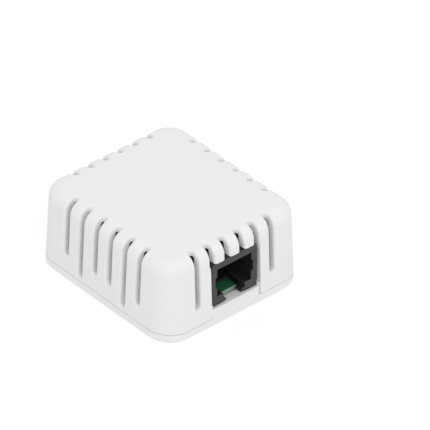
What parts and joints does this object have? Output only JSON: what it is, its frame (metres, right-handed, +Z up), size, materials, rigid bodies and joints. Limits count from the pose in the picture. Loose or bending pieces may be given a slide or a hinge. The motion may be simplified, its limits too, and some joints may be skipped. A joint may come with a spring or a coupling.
{
  "type": "temperature humidity sensor",
  "caption": "Small white vented box with rounded edges, slotted walls and a dark modular jack in one side, holding a temperature and humidity sensing board.",
  "frame": {"origin": "middle of the underside of the base", "axes": "+Z up out of the roof, -Y out of the jack, +X along the face with the jack"},
  "size_m": [0.041, 0.0458, 0.0207],
  "materials": {
    "case_plastic": "fine matte moulded texture",
    "jack_plastic": "satin moulded",
    "board_laminate": "solder mask over glass laminate",
    "screw_steel": "zinc plated",
    "contact_gold": "gold plated",
    "tinned_metal": "tinned",
    "chip_epoxy": "moulded epoxy",
    "moulded_capacitor": "moulded epoxy",
    "capacitor_ceramic": "fired ceramic",
    "resistor_ceramic": "coated ceramic"
  },
  "bodies": {
    "base_unit": {"base": "case_plastic", "circuit_board": "board_laminate", "board_screws": "screw_steel", "jack_housing": "jack_plastic", "jack_insert": "jack_plastic", "contact_lead_1": "contact_gold", "contact_lead_2": "contact_gold", "contact_lead_3": "contact_gold", "contact_lead_4": "contact_gold", "contact_lead_5": "contact_gold", "contact_lead_6": "contact_gold", "solder_joints": "tinned_metal", "sensor_chip": "chip_epoxy", "sensor_pads": "tinned_metal", "controller_chip": "chip_epoxy", "controller_leads": "tinned_metal", "regulator_chip": "chip_epoxy", "regulator_leads": "tinned_metal", "surge_diode": "chip_epoxy", "surge_diode_leads": "tinned_metal", "bulk_capacitor": "moulded_capacitor", "bulk_capacitor_leads": "tinned_metal", "capacitor_bodies": "capacitor_ceramic", "capacitor_ends": "tinned_metal", "resistor_bodies": "resistor_ceramic", "resistor_ends": "tinned_metal"},
    "cover": {"cover": "case_plastic"},
    "contact_arms": {"contact_spring_1": "contact_gold", "contact_spring_2": "contact_gold", "contact_spring_3": "contact_gold", "contact_spring_4": "contact_gold", "contact_spring_5": "contact_gold", "contact_spring_6": "contact_gold"}
  },
  "joints": [
    {"name": "cover_lift", "type": "slide", "parent": "base_unit", "child": "cover", "axis": [0, 0, 1], "range_m": [0, 0.025]},
    {"name": "contact_flex", "type": "hinge", "parent": "base_unit", "child": "contact_arms", "pos_m": [0, -0.01978, 0.01395], "axis": [1, 0, 0], "range_deg": [0, 11], "stiffness_Nm_per_rad": 0.3}
  ]
}
